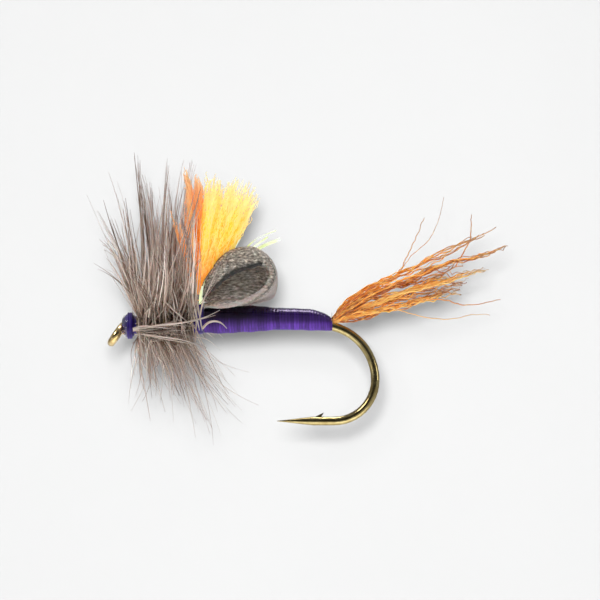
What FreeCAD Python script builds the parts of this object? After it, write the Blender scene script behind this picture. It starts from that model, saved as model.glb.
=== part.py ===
"""Cripple-style dry fly on a size 12 down-eye hook, built up the way it is tied.

Millimetres. The origin is the centre of the hook's eye. +X runs along the shank from the eye to the
bend and +Z is up, so the point hangs below the shank. The fly is built about the plane Y = 0.
Every piece that a tyer adds is a node of its own in parts/. Fibres are straight tapered bars.
"""
import FreeCAD, Part
import math
import os

# ---- hook --------------------------------------------------------------------------------------
SHANK_Z = 0.45  # the shank's centreline above the eye's centre
WIRE_R = 0.20
EYE_WIRE_R = 0.18  # the wire is ground thinner where the eye is rolled
EYE_RING_R = 0.41  # centreline of the eye's ring
EYE_HOLE_R = 0.25  # the hole that takes the leader
EYE_TILT = 56.0  # degrees that the eye turns down from the shank
EYE_ROLL = 340.0  # degrees of ring, so that its end stops just short of the neck
SHANK_TAPER_END_X = 1.20
BEND_START_X = 9.19
UPPER_BEND_R = 2.48
LOWER_BEND_R = 1.85
POINT_LENGTH = 1.62  # the point's taper
POINT_TIP_R = 0.012
SPEAR_LENGTH = 0.96  # straight wire between the bend and the point's taper
BARB_LENGTH = 0.50
BARB_RISE = 0.19
BARB_WIDTH = 0.16

# ---- thread and body ---------------------------------------------------------------------------
THREAD_T = 0.025  # a flattened layer of tying thread
THREAD_R = 0.0375  # a round turn of tying thread
THREAD_PITCH = 0.075
HEAD_FRONT_X = 0.27
HEAD_REAR_X = 0.80
HEAD_Z = 0.42  # a little under the shank, because the neck turns down inside the head
HEAD_R = 0.53
COAT_T = 0.03  # head cement and body varnish
HACKLE_FRONT_X = 1.02
HACKLE_REAR_X = 3.40
THORAX_REAR_X = 3.48
THORAX_R = 0.56
COLLAR_REAR_X = 3.94
BODY_END_X = 9.74
BODY_SECTIONS = [  # x, centre z, half height, half width: oval, because the butts lie on top
    (COLLAR_REAR_X + 0.01, 0.66, 0.56, 0.52),
    (4.30, 0.67, 0.60, 0.56),
    (5.12, 0.70, 0.61, 0.57),
    (6.02, 0.735, 0.585, 0.55),
    (6.92, 0.735, 0.53, 0.50),
    (8.28, 0.71, 0.485, 0.45),
    (8.95, 0.665, 0.46, 0.42),
    (9.40, 0.585, 0.405, 0.37),
    (9.64, 0.505, 0.34, 0.31),
    (BODY_END_X, 0.44, 0.27, 0.26),
]

# ---- hackle ------------------------------------------------------------------------------------
STEM_R = 0.07
STEM_PITCH = 0.36
HACKLE_COUNT = 150
HACKLE_LENGTH = 6.9
HACKLE_BASE_R = 0.034
HACKLE_TIP_R = 0.012

# ---- tail, wing and flash ----------------------------------------------------------------------
TAIL_FOOT = (9.80, 0.0, 0.52)
TAIL_COUNT = 32
TAIL_LEANS = (55.0, 74.0)  # degrees back from upright
TAIL_LENGTHS = (5.4, 8.6)
TAIL_STRAYS = [(40.5, 7.6), (40.0, 6.3), (51.0, 7.8), (81.5, 7.6), (86.5, 7.0)]  # lean, length
WING_FOOT = (3.64, 0.0, 1.56)
ORANGE_COUNT = 26
ORANGE_LEANS = (-8.0, 2.0)
ORANGE_LENGTHS = (5.2, 5.9)
YELLOW_COUNT = 40
YELLOW_LEANS = (2.0, 31.0)
YELLOW_LENGTHS = (5.0, 5.7)
YARN_BASE_R = 0.042
YARN_TIP_R = 0.022
TAPE_WIDTH = 0.18
TAPE_T = 0.03
FLASH_FOOT = (3.86, 0.50, 1.40)
FLASH_ROUTES = [  # a kink beside the foam, and the tip
    ((6.10, 1.35, 3.72), (7.37, 1.40, 4.34)),
    ((5.55, 1.25, 3.86), (7.18, 1.30, 4.74)),
    ((5.80, 1.60, 3.80), (6.95, 1.75, 4.50)),
    ((5.20, 1.20, 3.70), (5.57, 1.25, 4.40)),
    ((4.02, 0.62, 2.30), (4.25, 0.70, 3.00)),
]

# ---- foam --------------------------------------------------------------------------------------
# The strip leaves the tie-in, runs back over the body, folds up and comes forward again, and it is
# cupped: its crown stands higher than its edges. Each line below follows that whole way.
FOAM_T = 0.24
FOAM_STATIONS = 25
FOAM_STATION_POINTS = 5
FOAM_NEAR_EDGE = [
    (3.72, -0.20, 1.30),
    (4.80, -0.90, 1.31),
    (5.75, -1.00, 1.60),
    (6.50, -0.95, 2.08),
    (6.74, -0.88, 2.62),
    (6.25, -0.92, 2.94),
    (5.34, -0.98, 2.74),
    (4.50, -0.86, 2.14),
    (3.74, -0.20, 1.56),
]
FOAM_CROWN = [
    (3.72, 0.00, 1.34),
    (4.85, 0.00, 1.46),
    (6.20, 0.00, 1.54),
    (7.05, 0.00, 2.10),
    (6.94, 0.00, 3.05),
    (5.95, 0.00, 3.82),
    (4.75, 0.00, 3.45),
    (4.05, 0.00, 2.45),
    (3.72, 0.00, 1.62),
]
FOAM_FAR_EDGE = [
    (3.72, 0.20, 1.30),
    (4.80, 0.80, 1.36),
    (5.90, 0.88, 1.44),
    (6.85, 0.90, 1.66),
    (6.98, 1.12, 1.95),
    (6.25, 1.24, 1.80),
    (5.30, 1.26, 1.66),
    (4.40, 0.98, 1.58),
    (3.74, 0.20, 1.56),
]

FULL_TURN = 360.0
SCATTER_STEPS = (0.8191725, 0.6710436, 0.5497005)  # three unrelated ways to spread values evenly
X_AXIS = FreeCAD.Vector(1, 0, 0)
Y_AXIS = FreeCAD.Vector(0, 1, 0)
Z_AXIS = FreeCAD.Vector(0, 0, 1)


# ---- helpers -----------------------------------------------------------------------------------
def vec(x, y, z):
    return FreeCAD.Vector(x, y, z)


def save(node, *solids):
    """Writes one node, made of one or more separate solids."""
    shape = solids[0] if len(solids) == 1 else Part.makeCompound(list(solids))
    if not all(solid.isValid() and solid.Volume > 0 for solid in shape.Solids):
        raise ValueError(f"{node} has a bad solid")
    shape.exportStep(f"parts/{node}.step")
    print(f"{node:18s} {len(shape.Solids):4d} solids {shape.Volume:8.4f} mm3")


def scatter(i, low, high, way=0):
    """The i-th of a series of values spread evenly, but not in order, from low to high."""
    return low + (high - low) * ((0.5 + i * SCATTER_STEPS[way]) % 1.0)


def blend(values, share):
    return values[0] + (values[1] - values[0]) * share


def rod(x0, x1, z, radius):
    return Part.makeCylinder(radius, x1 - x0, vec(x0, 0, z), X_AXIS)


def bent_rod(start, direction, radius, centre, axis, angle):
    """A round rod that sets off along direction and bends about an axis."""
    section = Part.Face(Part.Wire(Part.makeCircle(radius, start, direction)))
    return section.revolve(centre, axis, angle)


def turned(profile, z):
    """A solid of revolution about the line along X at height z, from (x, radius) points."""
    rim = Part.BSplineCurve()
    rim.interpolate([vec(x, 0, z + radius) for x, radius in profile])
    front, rear = vec(profile[0][0], 0, z), vec(profile[-1][0], 0, z)
    edges = [
        Part.makeLine(front, rim.StartPoint),
        rim.toShape(),
        Part.makeLine(rim.EndPoint, rear),
        Part.makeLine(rear, front),
    ]
    return Part.Face(Part.Wire(edges)).revolve(vec(0, 0, z), X_AXIS, FULL_TURN)


def oval(x, z, half_height, half_width):
    top, side = vec(x, 0, z + half_height), vec(x, half_width, z)
    long_axis, short_axis = (top, side) if half_height >= half_width else (side, top)
    return Part.Wire(Part.Ellipse(long_axis, short_axis, vec(x, 0, z)).toShape())


def oval_loft(sections, extra=0.0):
    """A closed solid through ovals given as (x, z, half height, half width)."""
    rings = [oval(x, z, height + extra, width + extra) for x, z, height, width in sections]
    return Part.makeLoft(rings, True)


def closed_outline(there, back):
    """A closed wire, out along one smooth line of points and back along another."""
    out_curve, back_curve = Part.BSplineCurve(), Part.BSplineCurve()
    out_curve.interpolate(there)
    back_curve.interpolate(back)
    turn, close = Part.makeLine(there[-1], back[0]), Part.makeLine(back[-1], there[0])
    return Part.Wire([out_curve.toShape(), turn, back_curve.toShape(), close])


def heading(lean, roll):
    """The unit vector that leans back from upright, and rolls across the fly, by degrees."""
    back, side = math.radians(lean), math.radians(roll)
    return vec(math.sin(back) * math.cos(side), math.sin(side), math.cos(back) * math.cos(side))


def strand(base, direction, length, base_r, tip_r):
    """One straight tapered fibre, six-sided as a flattened barb or filament is near enough."""
    turn = FreeCAD.Rotation(Z_AXIS, direction)
    outlines = []
    for radius, height in ((base_r, 0), (tip_r, length)):
        corners = [
            base.add(turn.multVec(vec(radius * math.cos(angle), radius * math.sin(angle), height)))
            for angle in [math.radians(60 * i) for i in range(6)]
        ]
        outlines.append(Part.makePolygon(corners + corners[:1]))
    return Part.makeLoft(outlines, True, True)


def fan(foot, foot_r, leans, roll, lengths, count, radii):
    """Fibres spread from a small round foot: leans gives the first and last, roll the most that
    one turns to either side, and lengths the shortest and longest."""
    middle = heading(blend(leans, 0.5), 0)
    up = middle.cross(Y_AXIS)
    fibres = []
    for i in range(count):
        lean = blend(leans, (i + 0.5) / count)
        around = scatter(i, 0, 2 * math.pi, 2)
        offset = Y_AXIS * math.cos(around) + up * math.sin(around)
        base = vec(*foot).add(offset * foot_r)
        direction = heading(lean, scatter(i, -roll, roll))
        fibres.append(strand(base, direction, scatter(i, *lengths, 1), *radii))
    return fibres


# ---- hook --------------------------------------------------------------------------------------
def eye_up():
    """Unit vector from the eye's centre to the neck."""
    return heading(90 - EYE_TILT, 0)


def eye_axis():
    """Unit vector along the eye's hole, forward and up."""
    return heading(-EYE_TILT, 0)


def hook_eye():
    """The ring of wire, with the hole reamed through it."""
    ring_top = eye_up() * EYE_RING_R
    ring = bent_rod(ring_top, Y_AXIS, EYE_WIRE_R, vec(0, 0, 0), eye_axis(), -EYE_ROLL)
    ream = 4 * EYE_WIRE_R
    hole = Part.makeCylinder(EYE_HOLE_R, ream, eye_axis() * (-ream / 2), eye_axis())
    return ring.cut(hole)


def hook_neck():
    """The wire's turn from the shank down to the ring, and the tapered start of the shank."""
    drop = SHANK_Z - eye_up().z * EYE_RING_R
    radius = drop / (1 - math.cos(math.radians(EYE_TILT)))
    start_x = eye_up().x * EYE_RING_R + radius * math.sin(math.radians(EYE_TILT))
    start = vec(start_x, 0, SHANK_Z)
    neck = bent_rod(
        start, X_AXIS, EYE_WIRE_R, start.sub(Z_AXIS * radius), Y_AXIS, -EYE_TILT
    )
    taper = Part.makeCone(EYE_WIRE_R, WIRE_R, SHANK_TAPER_END_X - start_x, start, X_AXIS)
    return [neck, taper]


def hook_barb(foot_x, top_z):
    """A sliver raised from the top of the spear, open towards the bend."""
    buried = 0.05
    corners = [
        vec(foot_x, -BARB_WIDTH / 2, top_z - buried),
        vec(foot_x + BARB_LENGTH, -BARB_WIDTH / 2, top_z + BARB_RISE),
        vec(foot_x + 0.7 * BARB_LENGTH, -BARB_WIDTH / 2, top_z - buried),
    ]
    return Part.Face(Part.makePolygon(corners + corners[:1])).extrude(Y_AXIS * BARB_WIDTH)


def make_hook():
    bend_top = vec(BEND_START_X, 0, SHANK_Z)
    upper_centre = bend_top.sub(Z_AXIS * UPPER_BEND_R)
    bend_back = upper_centre.add(X_AXIS * UPPER_BEND_R)
    lower_centre = bend_back.sub(X_AXIS * LOWER_BEND_R)
    spear_z = lower_centre.z - LOWER_BEND_R
    taper_x = lower_centre.x - SPEAR_LENGTH
    pieces = hook_neck() + [
        rod(SHANK_TAPER_END_X, BEND_START_X, SHANK_Z, WIRE_R),
        bent_rod(bend_top, X_AXIS, WIRE_R, upper_centre, Y_AXIS, 90),
        bent_rod(bend_back, Z_AXIS, WIRE_R, lower_centre, Y_AXIS, 90),
        rod(taper_x, lower_centre.x, spear_z, WIRE_R),
        Part.makeCone(WIRE_R, POINT_TIP_R, POINT_LENGTH, vec(taper_x, 0, spear_z), -X_AXIS),
        hook_barb(taper_x, spear_z + WIRE_R),
    ]
    return hook_eye().multiFuse(pieces).removeSplitter()


# ---- thread, butts and body --------------------------------------------------------------------
def make_thread_base(hook):
    """The first layer of thread, laid on the bare shank from the head to the bend."""
    return rod(HEAD_REAR_X, BEND_START_X, SHANK_Z, WIRE_R + THREAD_T).cut(hook)


def make_tail_butt():
    """The tail yarn's front part, bound down along the top of the shank."""
    z = SHANK_Z + WIRE_R + THREAD_T
    return oval_loft(
        [
            (COLLAR_REAR_X + 0.1, z + 0.15, 0.14, 0.20),
            (COLLAR_REAR_X + 2.2, z + 0.20, 0.19, 0.26),
            (BODY_END_X - 1.2, z + 0.15, 0.17, 0.25),
            (BODY_END_X - 0.02, z - 0.06, 0.15, 0.20),
        ]
    )


def make_tail_wraps():
    """The tight band of thread that binds the tail above the bend, under the body."""
    x = BODY_END_X - 0.80
    return oval_loft([(x, SHANK_Z + 0.17, 0.40, 0.32), (x + 0.4, SHANK_Z + 0.11, 0.34, 0.31)])


def make_wing_butt():
    """The wing yarn's front end, bound down under the thorax."""
    z = SHANK_Z + WIRE_R + THREAD_T
    return oval_loft(
        [
            (2.10, z + 0.06, 0.05, 0.10),
            (2.90, z + 0.10, 0.09, 0.20),
            (THORAX_REAR_X, z + 0.13, 0.12, 0.24),
        ]
    )


def make_thorax():
    return turned(
        [
            (HACKLE_FRONT_X - 0.10, 0.44),
            (1.5, THORAX_R - 0.04),
            (2.4, THORAX_R),
            (THORAX_REAR_X, THORAX_R),
        ],
        SHANK_Z,
    )


def make_collar():
    """Thread wraps that bind the feet of wing, flash and foam on top of the shank."""
    return oval_loft(
        [
            (THORAX_REAR_X + 0.01, 0.68, 0.60, 0.50),
            (3.62, 0.80, 0.76, 0.52),
            (3.80, 0.80, 0.76, 0.50),
            (COLLAR_REAR_X, 0.66, 0.57, 0.48),
        ]
    )


# ---- head --------------------------------------------------------------------------------------
def head_profile():
    return [
        (HEAD_FRONT_X, 0.30),
        (0.36, 0.43),
        (0.50, HEAD_R - 0.01),
        (0.60, HEAD_R),
        (0.70, HEAD_R - 0.01),
        (HEAD_REAR_X, 0.46),
    ]


def make_cement(head):
    """A clear coat over the head's front, from the eye to the crest."""
    front = [(x - COAT_T / 2, radius + COAT_T) for x, radius in head_profile()[:3]]
    return turned(front, HEAD_Z).cut(head)


def thread_rings(x_first, count, z, radius):
    return [
        Part.makeTorus(radius, THREAD_R, vec(x_first + THREAD_PITCH * i, 0, z), X_AXIS)
        for i in range(count)
    ]


# ---- wing and flash ----------------------------------------------------------------------------
def make_post_wraps():
    """Turns of thread round the foot of the upright wing."""
    foot = vec(*WING_FOOT)
    turns = []
    for i in range(3):
        centre = foot.add(Z_AXIS * (0.08 + THREAD_PITCH * i))
        turns.append(Part.makeTorus(0.25, THREAD_R, centre))
    return turns


def tape_run(start, end):
    """One flat stretch of pearl tape."""
    run = end.sub(start)
    tape = Part.makeBox(TAPE_T, TAPE_WIDTH, run.Length, vec(-TAPE_T / 2, -TAPE_WIDTH / 2, 0))
    tape.Placement = FreeCAD.Placement(start, FreeCAD.Rotation(Z_AXIS, run))
    return tape


def make_flash():
    tapes = []
    for i, (kink, tip) in enumerate(FLASH_ROUTES):
        foot = vec(*FLASH_FOOT).add(Z_AXIS * scatter(i, -0.15, 0.15))
        tapes.append(tape_run(foot, vec(*kink)).fuse(tape_run(vec(*kink), vec(*tip))))
    return tapes


# ---- foam --------------------------------------------------------------------------------------
def foam_guides():
    """The strip's near edge, crown and far edge as smooth lines, each running from 0 to 1."""
    guides = []
    for points in (FOAM_NEAR_EDGE, FOAM_CROWN, FOAM_FAR_EDGE):
        steps = [i / (len(points) - 1) for i in range(len(points))]
        guide = Part.BSplineCurve()
        guide.interpolate(Points=[vec(*p) for p in points], Parameters=steps)
        guides.append(guide)
    return guides


def foam_point(guides, along, across):
    """A point halfway through the strip; across is 0 at the near edge and 1 at the far edge."""
    near, crown, far = [guide.value(min(max(along, 0.0), 1.0)) for guide in guides]
    near *= (1 - across) * (1 - 2 * across)
    crown *= 4 * across * (1 - across)
    far *= across * (2 * across - 1)
    return near.add(crown).add(far)


def foam_normal(guides, along, across):
    """Unit vector square to the strip, out of the bubble."""
    step = 0.004
    run = foam_point(guides, along + step, across).sub(foam_point(guides, along - step, across))
    side = foam_point(guides, along, across + step).sub(foam_point(guides, along, across - step))
    return side.cross(run).normalize()


def foam_section(guides, along):
    """The strip's outline across one place. Thread squeezes it thin at both ends."""
    squeeze = 1 - 0.55 * math.exp(-0.5 * (min(along, 1 - along) / 0.05) ** 2)
    outer, inner = [], []
    for i in range(FOAM_STATION_POINTS):
        across = i / (FOAM_STATION_POINTS - 1)
        point = foam_point(guides, along, across)
        half = foam_normal(guides, along, across) * (FOAM_T * squeeze / 2)
        outer.append(point.add(half))
        inner.append(point.sub(half))
    return closed_outline(outer, inner[::-1])


def make_foam_loop():
    guides = foam_guides()
    places = [i / (FOAM_STATIONS - 1) for i in range(FOAM_STATIONS)]
    sections = [foam_section(guides, place) for place in places]
    skin = Part.makeLoft(sections, False)
    caps = [Part.makeFilledFace(sections[end].Edges) for end in (0, -1)]
    shell = Part.Shell(skin.Faces + caps)
    shell.sewShape()
    return Part.makeSolid(shell)


# ---- hackle ------------------------------------------------------------------------------------
def make_stem():
    """The feather's quill, wound forward over the thorax."""
    radius = THORAX_R + STEM_R + 0.01
    points_a_turn = 16
    count = round(points_a_turn * (HACKLE_REAR_X - HACKLE_FRONT_X) / STEM_PITCH)
    points = []
    for i in range(count + 1):
        turn = i / points_a_turn
        angle = 2 * math.pi * turn
        x = HACKLE_FRONT_X + STEM_PITCH * turn
        points.append(vec(x, radius * math.sin(angle), SHANK_Z + radius * math.cos(angle)))
    coil = Part.BSplineCurve()
    coil.interpolate(points)
    section = Part.makeCircle(STEM_R, points[0], coil.tangent(coil.FirstParameter)[0])
    return Part.Wire(coil.toShape()).makePipeShell([Part.Wire(section)], True, True)


def hackle_fibre(i):
    """Fibres stand out all round. Front ones lean forward, and lower ones are shorter and sweep
    back."""
    core_r = THORAX_R + 2 * STEM_R
    along = (i + 0.5) / HACKLE_COUNT
    around = scatter(i, 0, 2 * math.pi)
    up = math.cos(around)
    lean = blend((-11, 0), along) * (1 + up) / 2 + blend((4, 36), along) * (1 - up) / 2
    lean = math.radians(lean + scatter(i, -8, 8, 1))
    radial = vec(0, math.sin(around), up)
    base = radial * core_r + vec(blend((HACKLE_FRONT_X, HACKLE_REAR_X), along), 0, SHANK_Z)
    length = HACKLE_LENGTH * (0.86 + 0.14 * up) * scatter(i, 0.88, 1.0, 2)
    direction = X_AXIS * math.sin(lean) + radial * math.cos(lean)
    return strand(base, direction, length, HACKLE_BASE_R, HACKLE_TIP_R)


# ---- the fly, in tying order -------------------------------------------------------------------
def main():
    os.makedirs("parts", exist_ok=True)
    hook = make_hook()
    save("hook", hook)
    thread_base = make_thread_base(hook)
    save("thread_base", thread_base)
    bound = hook.fuse(thread_base)

    tail_butt = make_tail_butt().cut(bound)
    save("tail_yarn_butt", tail_butt)
    yarn_radii = (YARN_BASE_R, YARN_TIP_R)
    tail = fan(TAIL_FOOT, 0.13, TAIL_LEANS, 9, TAIL_LENGTHS, TAIL_COUNT, yarn_radii)
    for lean, length in TAIL_STRAYS:
        tail.append(strand(vec(*TAIL_FOOT), heading(lean, 0), length, *yarn_radii))
    save("tail_yarn", *tail)
    tail_wraps = make_tail_wraps().cut(bound.fuse(tail_butt))
    save("tail_tie_wraps", tail_wraps)

    body = oval_loft(BODY_SECTIONS)
    save("abdomen_floss", body.cut(bound.fuse(tail_butt).fuse(tail_wraps)))
    varnish = oval_loft(BODY_SECTIONS, COAT_T)
    save("abdomen_varnish", varnish.cut(body).cut(hook))

    wing_butt = make_wing_butt().cut(bound)
    save("wing_yarn_butt", wing_butt)
    orange = fan(WING_FOOT, 0.14, ORANGE_LEANS, 9, ORANGE_LENGTHS, ORANGE_COUNT, yarn_radii)
    save("wing_yarn_orange", *orange)
    yellow = fan(WING_FOOT, 0.14, YELLOW_LEANS, 9, YELLOW_LENGTHS, YELLOW_COUNT, yarn_radii)
    save("wing_yarn_yellow", *yellow)
    save("wing_post_wraps", *make_post_wraps())
    save("pearl_flash", *make_flash())

    foam = make_foam_loop()
    save("foam_loop", foam)
    save("foam_tie_wraps", make_collar().cut(bound.fuse(foam)))
    save("thorax_dubbing", make_thorax().cut(bound.fuse(wing_butt)))

    save("hackle_stem", make_stem())
    save("hackle_fibres", *[hackle_fibre(i) for i in range(HACKLE_COUNT)])
    save("hackle_tie_off", rod(HEAD_REAR_X, HACKLE_FRONT_X - 0.11, SHANK_Z, 0.40).cut(bound))

    head = turned(head_profile(), HEAD_Z).cut(hook)
    save("head_wraps", head)
    save("head_cement", make_cement(head).cut(hook))
    save("whip_finish", *thread_rings(0.54, 3, HEAD_Z, HEAD_R + THREAD_R))


main()
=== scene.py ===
"""The looks of the dry fly: every visible piece, its material, a pale studio and the camera.

Sizes are in millimetres from the centre of the hook's eye until at() turns them into metres.
"""
import functools
import math
import random

import bpy
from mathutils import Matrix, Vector, noise
from mathutils.bvhtree import BVHTree


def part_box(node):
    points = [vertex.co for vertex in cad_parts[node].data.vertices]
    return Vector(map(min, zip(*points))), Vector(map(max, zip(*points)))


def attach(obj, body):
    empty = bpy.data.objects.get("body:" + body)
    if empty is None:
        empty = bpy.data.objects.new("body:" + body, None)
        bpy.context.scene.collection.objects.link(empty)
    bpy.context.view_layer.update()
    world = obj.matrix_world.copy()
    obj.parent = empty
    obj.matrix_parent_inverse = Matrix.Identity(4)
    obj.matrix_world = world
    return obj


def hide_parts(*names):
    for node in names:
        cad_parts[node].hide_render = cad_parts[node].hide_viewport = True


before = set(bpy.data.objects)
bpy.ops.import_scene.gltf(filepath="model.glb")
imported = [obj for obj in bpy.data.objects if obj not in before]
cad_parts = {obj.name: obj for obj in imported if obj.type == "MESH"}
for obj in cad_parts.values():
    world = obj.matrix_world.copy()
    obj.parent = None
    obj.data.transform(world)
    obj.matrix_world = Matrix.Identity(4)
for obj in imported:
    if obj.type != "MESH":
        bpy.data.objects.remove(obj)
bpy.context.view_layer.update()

MM = 0.001
SHANK_Z = 0.45  # the shank's centreline above the eye's centre
noise.seed_set(4)  # noise_vector follows this seed, and without it the time of day


# ---- measures ----------------------------------------------------------------------------------
def at(x, y, z):
    return Vector((x, y, z)) * MM


@functools.cache
def span(node):
    """A CAD node's lowest and highest corner, in millimetres."""
    low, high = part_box(node)
    return Vector(low) / MM, Vector(high) / MM


def mix(a, b, share):
    return a + (b - a) * share


def vary(middle, spread):
    return middle * random.uniform(1 - spread, 1 + spread)


def smooth_path(points, count):
    """A Catmull-Rom curve through the points, sampled evenly."""
    ends = [points[0] * 2 - points[1]] + list(points) + [points[-1] * 2 - points[-2]]
    samples = []
    for i in range(count):
        place = i / (count - 1) * (len(points) - 1)
        k = min(int(place), len(points) - 2)
        t = place - k
        a, b, c, d = ends[k : k + 4]
        samples.append(
            0.5
            * (
                2 * b
                + (c - a) * t
                + (2 * a - 5 * b + 4 * c - d) * t**2
                + (3 * b - a - 3 * c + d) * t**3
            )
        )
    return samples


def clamp(value):
    return min(1.0, max(0.0, value))


def bell(place, middle, width):
    """1 at the middle, falling smoothly to nothing a few widths away."""
    return math.exp(-0.5 * ((place - middle) / width) ** 2)


def waver(seed, place, size):
    """A smooth random vector that changes along a fibre."""
    return noise.noise_vector(Vector((place, seed * 7.31, seed * 3.17))) * size


# ---- meshes ------------------------------------------------------------------------------------
def new_piece(name, verts, faces, material):
    mesh = bpy.data.meshes.new(name)
    mesh.from_pydata(verts, [], faces)
    mesh.polygons.foreach_set("use_smooth", [True] * len(mesh.polygons))
    mesh.materials.append(material)
    mesh.update()
    piece = bpy.data.objects.new(name, mesh)
    bpy.context.scene.collection.objects.link(piece)
    return piece


def paint(piece, name, values):
    """Stores one number for each vertex, for the material to read."""
    layer = piece.data.attributes.new(name, "FLOAT", "POINT")
    layer.data.foreach_set("value", values)


def settle(piece, slot, *nodes):
    """The piece rides on the fly and stands for the CAD nodes, which are hidden; slot is not used."""
    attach(piece, "root")
    if nodes:
        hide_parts(*nodes)


class Strand:
    """One fibre: its line in millimetres, its radius at each point, and its own shade. begin is
    above 0 where the fibre's root is hidden."""

    def __init__(self, line, thick, tip=0.35, root=1.0, flat=1.0, shade=None, begin=0.0):
        self.line = line
        self.flat = flat
        self.begin = begin
        self.shade = random.random() if shade is None else shade
        last = len(line) - 1
        self.radii = [
            thick * mix(root, 1.0, min(1.0, 4 * i / last)) * mix(1.0, tip, (i / last) ** 1.8)
            for i in range(len(line))
        ]


def fibres(name, strands, material, sides=5):
    """One mesh of many thin tubes, with along (0 at the root, 1 at the tip) and shade painted."""
    verts, faces, along, shade = [], [], [], []
    for strand in strands:
        start = len(verts)
        line, last = strand.line, len(strand.line) - 1
        side = (line[1] - line[0]).orthogonal().normalized()
        for i, point in enumerate(line):
            run = (line[min(i + 1, last)] - line[max(i - 1, 0)]).normalized()
            side = (side - run * side.dot(run)).normalized()
            up = run.cross(side)
            for k in range(sides):
                angle = 2 * math.pi * k / sides
                out = side * math.cos(angle) + up * (math.sin(angle) * strand.flat)
                verts.append((point + out * strand.radii[i]) * MM)
            along += [mix(strand.begin, 1.0, i / last)] * sides
            shade += [strand.shade] * sides
        for i in range(last):
            ring = start + i * sides
            for k in range(sides):
                n = (k + 1) % sides
                faces.append((ring + k, ring + n, ring + sides + n, ring + sides + k))
        faces.append(tuple(range(start + sides - 1, start - 1, -1)))
        faces.append(tuple(range(start + last * sides, start + (last + 1) * sides)))
    piece = new_piece(name, verts, faces, material)
    paint(piece, "along", along)
    paint(piece, "shade", shade)
    return piece


def cad_tree(node):
    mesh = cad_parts[node].data
    verts = [v.co.copy() for v in mesh.vertices]
    return BVHTree.FromPolygons(verts, [tuple(p.vertices) for p in mesh.polygons])


def wound_skin(name, node, axis_z, pitch, ridge, material, around=72, per_turn=12, lumps=0.0):
    """Close turns of thread over a CAD node. The node's surface is found by rays cast in towards
    the shank, and each turn stands out from it as a rounded ridge."""
    tree = cad_tree(node)
    low, high = span(node)
    inset = 0.004
    count = max(8, int((high.x - low.x) / pitch * per_turn))
    verts, faces, groove, shade, under = [], [], [], [], []
    for i in range(count + 1):
        x = mix(low.x + inset, high.x - inset, i / count)
        for k in range(around):
            angle = 2 * math.pi * k / around
            out = Vector((0, math.sin(angle), math.cos(angle)))
            hit = tree.ray_cast(at(x, 0, axis_z) + out * (4 * MM), -out)[0]
            radius = (hit / MM - Vector((x, 0, axis_z))).length if hit else ridge
            shift = 0.3 * pitch * noise.noise(Vector((x * 2.1, math.sin(angle), math.cos(angle))))
            turn = (x + shift) / pitch + angle / (2 * math.pi)
            swell = lumps * noise.noise(Vector((x * 1.9, 0.4 * math.sin(angle), 0.7)))
            crest = abs(math.sin(math.pi * turn)) ** 0.7
            own = noise.noise(Vector((math.floor(turn) * 0.57, 0.3, 0.1))) * 0.8
            own += 0.5 * noise.noise(Vector((math.floor(turn) * 5.7, 0.3, 0.1)))
            height = ridge * (crest - 0.6) * (1 + 0.5 * own) + swell
            verts.append(at(x, 0, axis_z) + out * ((radius + height) * MM))
            groove.append(crest)
            shade.append(0.5 + 0.5 * own)
            under.append(0.5 - 0.5 * math.cos(angle))
    for i in range(count):
        for k in range(around):
            n = (k + 1) % around
            a, b = i * around, (i + 1) * around
            faces.append((a + k, b + k, b + n, a + n))
    faces.append(tuple(range(around)))
    faces.append(tuple(range((count + 1) * around - 1, count * around - 1, -1)))
    piece = new_piece(name, verts, faces, material)
    paint(piece, "groove", groove)
    paint(piece, "shade", shade)
    paint(piece, "under", under)
    return piece


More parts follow.
